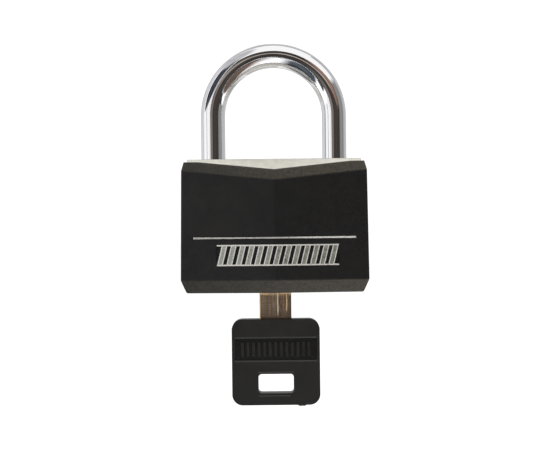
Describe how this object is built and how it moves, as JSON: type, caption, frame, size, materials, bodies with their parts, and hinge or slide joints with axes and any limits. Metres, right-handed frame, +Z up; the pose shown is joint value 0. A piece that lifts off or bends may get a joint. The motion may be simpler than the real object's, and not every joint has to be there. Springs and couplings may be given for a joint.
{
  "type": "padlock",
  "caption": "Keyed padlock with a faceted black cover over a metal body, a polished bow shackle and a plastic-headed key in its cylinder.",
  "frame": {"origin": "the inside top of the shackle's bow, where a hanging lock rests on what it locks", "axes": "+Z up along the plug's axis, -Y is the front with the strip and the badge, +X is to the right seen from the front, towards the toe leg"},
  "size_m": [0.0434, 0.0194, 0.0853],
  "materials": {
    "body_metal": "fine satin, tumbled edges",
    "cover_plastic": "satin moulded plastic with a fine grain",
    "silver_trim": "bright foil on plastic",
    "shackle_chrome": "polished plating",
    "steel": "zinc plated, satin",
    "spring_steel": "drawn wire",
    "brass": "machined",
    "nickel_brass": "nickel-plated brass, worn bright on its edges",
    "key_plastic": "satin moulded plastic"
  },
  "bodies": {
    "case": {"body_block": "body_metal", "body_cover": "cover_plastic", "accent_strip": "silver_trim", "badge": "silver_trim", "cylinder_housing": "brass", "chamber_cover": "brass", "cylinder_retaining_pin": "steel", "shackle_retaining_pin": "steel", "ejector_spring": "spring_steel", "driver_pin_1": "nickel_brass", "driver_pin_2": "nickel_brass", "driver_pin_3": "nickel_brass", "driver_pin_4": "nickel_brass", "pin_spring_1": "spring_steel", "pin_spring_2": "spring_steel", "pin_spring_3": "spring_steel", "pin_spring_4": "spring_steel"},
    "shackle": {"shackle": "shackle_chrome"},
    "dog_left": {"locking_dog_left": "steel"},
    "dog_right": {"locking_dog_right": "steel"},
    "plug": {"plug": "brass", "plug_clip": "spring_steel", "drive_cam": "steel", "key_pin_1": "brass", "key_pin_2": "brass", "key_pin_3": "brass", "key_pin_4": "brass"},
    "key": {"key_blade": "nickel_brass", "key_head": "key_plastic"}
  },
  "joints": [
    {"name": "plug_turn", "type": "hinge", "parent": "case", "child": "plug", "pos_m": [0, 0, -0.04], "axis": [0, 0, 1], "range_deg": [0, 90]},
    {"name": "dog_left_slide", "type": "slide", "parent": "case", "child": "dog_left", "axis": [1, 0, 0], "range_m": [0, 0.0035]},
    {"name": "dog_right_slide", "type": "slide", "parent": "case", "child": "dog_right", "axis": [-1, 0, 0], "range_m": [0, 0.0035]},
    {"name": "shackle_lift", "type": "slide", "parent": "case", "child": "shackle", "axis": [0, 0, 1], "range_m": [0, 0.01], "deforming": ["ejector_spring"]},
    {"name": "key_pull", "type": "slide", "parent": "plug", "child": "key", "axis": [0, 0, -1], "range_m": [0, 0.02]}
  ],
  "couplings": [
    {"joint": "plug_turn", "follows": "shackle_lift", "rad_per_m": 157.07},
    {"joint": "dog_left_slide", "follows": "shackle_lift", "ratio": 0.3499},
    {"joint": "dog_right_slide", "follows": "shackle_lift", "ratio": 0.3499}
  ]
}
